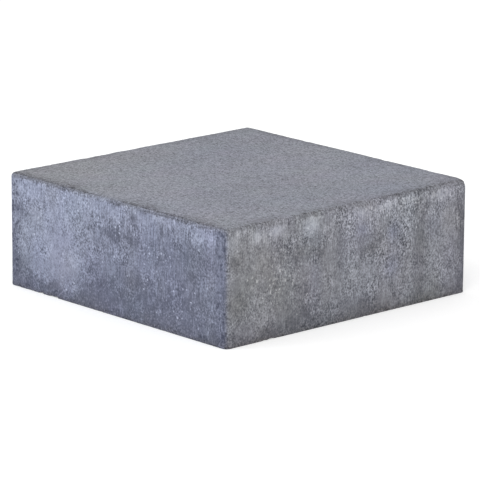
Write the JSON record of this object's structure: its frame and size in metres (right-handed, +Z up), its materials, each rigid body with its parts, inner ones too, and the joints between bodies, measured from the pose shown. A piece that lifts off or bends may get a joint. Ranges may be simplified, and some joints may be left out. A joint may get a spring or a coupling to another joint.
{
  "type": "concrete paving stone",
  "caption": "Square concrete paving stone with a fine sandy wearing face, a soft bevelled arris, rounded upright corners and streaked pressed sides.",
  "frame": {"origin": "centre of the bed face, at the level of the ground that the stone lies on", "axes": "+Z up, square to the wearing face; X and Y square to the sides"},
  "size_m": [0.278, 0.278, 0.1],
  "materials": {
    "concrete": "rough"
  },
  "bodies": {
    "root": {"paving_stone": "concrete"}
  },
  "joints": []
}
